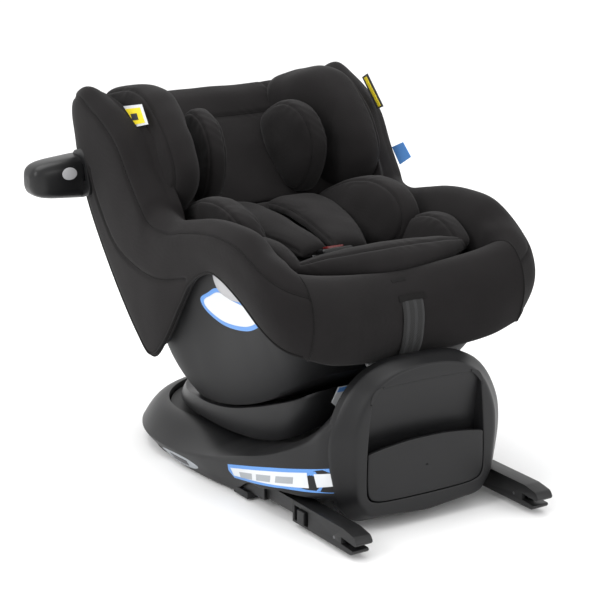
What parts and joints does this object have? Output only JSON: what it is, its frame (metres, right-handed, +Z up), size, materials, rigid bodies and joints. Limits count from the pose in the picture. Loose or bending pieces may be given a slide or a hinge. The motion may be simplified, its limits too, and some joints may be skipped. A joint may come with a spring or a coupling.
{
  "type": "convertible car seat",
  "caption": "Rearward-facing toddler car seat on a rotating base with anchor arms, sliding headrest, harness and removable newborn insert.",
  "frame": {"origin": "on the turntable axis, at the level the base stands on", "axes": "+X across the seat to the child's left, +Y towards the front of the vehicle, +Z up; the child faces -Y"},
  "size_m": [0.514, 0.6601, 0.5139],
  "materials": {
    "shell_plastic": "fine moulded texture, charcoal",
    "trim_plastic": "satin near-black",
    "silver_plastic": "silver grey paint",
    "red_plastic": "glossy red",
    "rubber": "matt",
    "steel_dark": "satin dark coating",
    "steel": "zinc plated",
    "cover_fabric": "black knitted cover",
    "insert_fabric": "black soft knit over padding",
    "webbing": "woven polyester webbing"
  },
  "bodies": {
    "base": {"base_cover": "shell_plastic", "base_tray": "shell_plastic", "glide_pads": "trim_plastic", "rubber_feet": "rubber", "rear_panel": "shell_plastic", "document_pocket": "shell_plastic", "arm_guide_right": "trim_plastic", "arm_guide_left": "trim_plastic"},
    "turntable": {"turntable_plate": "shell_plastic", "turntable_retainer": "shell_plastic", "recline_carriage": "shell_plastic", "recline_glide_strips": "trim_plastic"},
    "seat": {"seat_shell": "shell_plastic", "back_shell": "shell_plastic", "pod_sockets": "trim_plastic", "buckle_body": "trim_plastic", "buckle_tongue_right": "steel", "buckle_tongue_left": "steel", "side_bolster_right": "cover_fabric", "side_bolster_left": "cover_fabric", "front_apron": "cover_fabric", "seat_cushion": "cover_fabric", "back_cushion": "cover_fabric", "insert_seat_pad": "insert_fabric", "insert_torso_pad_right": "insert_fabric", "insert_torso_pad_left": "insert_fabric", "insert_hip_pad_right": "insert_fabric", "insert_hip_pad_left": "insert_fabric", "shoulder_pad_right": "insert_fabric", "shoulder_pad_left": "insert_fabric", "crotch_pad": "insert_fabric", "shoulder_strap_right": "webbing", "shoulder_strap_left": "webbing", "lap_strap_right": "webbing", "lap_strap_left": "webbing", "crotch_strap": "webbing", "adjuster_strap": "webbing"},
    "headrest": {"headrest_carrier": "trim_plastic", "headrest_pad": "insert_fabric", "headrest_wing_right": "cover_fabric", "headrest_wing_left": "cover_fabric", "head_pad_right": "insert_fabric", "head_pad_left": "insert_fabric"},
    "anchor_arm_right": {"anchor_arm_right": "steel_dark", "hook_pin_right": "steel"},
    "anchor_arm_left": {"anchor_arm_left": "steel_dark", "hook_pin_left": "steel"},
    "anchor_hook_right": {"anchor_hook_right": "steel"},
    "anchor_hook_left": {"anchor_hook_left": "steel"},
    "release_slide_right": {"release_slide_right": "trim_plastic"},
    "release_slide_left": {"release_slide_left": "trim_plastic"},
    "turn_lever_right": {"turn_lever_right": "silver_plastic"},
    "turn_lever_left": {"turn_lever_left": "silver_plastic"},
    "recline_handle": {"recline_handle": "silver_plastic"},
    "buckle_button": {"buckle_button": "red_plastic"},
    "adjuster_button": {"adjuster_button": "trim_plastic"},
    "side_impact_pod": {"side_impact_pod": "trim_plastic"},
    "pod_button": {"pod_button": "silver_plastic"}
  },
  "joints": [
    {"name": "turntable_turn", "type": "hinge", "parent": "base", "child": "turntable", "pos_m": [0, 0, 0.046], "axis": [0, 0, 1], "continuous": true},
    {"name": "seat_recline", "type": "hinge", "parent": "turntable", "child": "seat", "pos_m": [0, -0.03, 0.582], "axis": [1, 0, 0], "range_deg": [0, 10]},
    {"name": "headrest_height", "type": "slide", "parent": "seat", "child": "headrest", "axis": [0, 0.7071, 0.7071], "range_m": [0, 0.12]},
    {"name": "recline_handle_pull", "type": "slide", "parent": "seat", "child": "recline_handle", "axis": [0, -0.9659, 0.2588], "range_m": [0, 0.008], "stiffness_N_per_m": 900, "springref_m": -0.002},
    {"name": "buckle_press", "type": "slide", "parent": "seat", "child": "buckle_button", "axis": [0, -0.2588, -0.9659], "range_m": [0, 0.003], "stiffness_N_per_m": 2000, "springref_m": -0.001},
    {"name": "adjuster_press", "type": "slide", "parent": "seat", "child": "adjuster_button", "axis": [0, -0.2588, -0.9659], "range_m": [0, 0.003], "stiffness_N_per_m": 1500, "springref_m": -0.001},
    {"name": "pod_slide", "type": "slide", "parent": "seat", "child": "side_impact_pod", "axis": [-1, 0, 0], "range_m": [0, 0.03]},
    {"name": "pod_button_press", "type": "slide", "parent": "side_impact_pod", "child": "pod_button", "axis": [0, 0.9659, -0.2588], "range_m": [0, 0.002], "stiffness_N_per_m": 1500, "springref_m": -0.001},
    {"name": "turn_lever_right_pull", "type": "hinge", "parent": "seat", "child": "turn_lever_right", "pos_m": [-0.1974, -0.208, 0.29634], "axis": [1, 0, 0], "range_deg": [0, 6], "stiffness_Nm_per_rad": 0.6, "springref_deg": -1.72},
    {"name": "anchor_arm_right_slide", "type": "slide", "parent": "base", "child": "anchor_arm_right", "axis": [0, 1, 0], "range_m": [0, 0.05]},
    {"name": "anchor_hook_right_turn", "type": "hinge", "parent": "anchor_arm_right", "child": "anchor_hook_right", "pos_m": [-0.14, -0.425, 0.018], "axis": [1, 0, 0], "range_deg": [0, 11], "stiffness_Nm_per_rad": 0.02, "springref_deg": -5.73},
    {"name": "release_slide_right_pull", "type": "slide", "parent": "anchor_arm_right", "child": "release_slide_right", "axis": [0, 1, 0], "range_m": [0, 0.008], "stiffness_N_per_m": 900, "springref_m": -0.002},
    {"name": "turn_lever_left_pull", "type": "hinge", "parent": "seat", "child": "turn_lever_left", "pos_m": [0.1974, -0.208, 0.29634], "axis": [1, 0, 0], "range_deg": [0, 6], "stiffness_Nm_per_rad": 0.6, "springref_deg": -1.72},
    {"name": "anchor_arm_left_slide", "type": "slide", "parent": "base", "child": "anchor_arm_left", "axis": [0, 1, 0], "range_m": [0, 0.05]},
    {"name": "anchor_hook_left_turn", "type": "hinge", "parent": "anchor_arm_left", "child": "anchor_hook_left", "pos_m": [0.14, -0.425, 0.018], "axis": [1, 0, 0], "range_deg": [0, 11], "stiffness_Nm_per_rad": 0.02, "springref_deg": -5.73},
    {"name": "release_slide_left_pull", "type": "slide", "parent": "anchor_arm_left", "child": "release_slide_left", "axis": [0, 1, 0], "range_m": [0, 0.008], "stiffness_N_per_m": 900, "springref_m": -0.002}
  ]
}
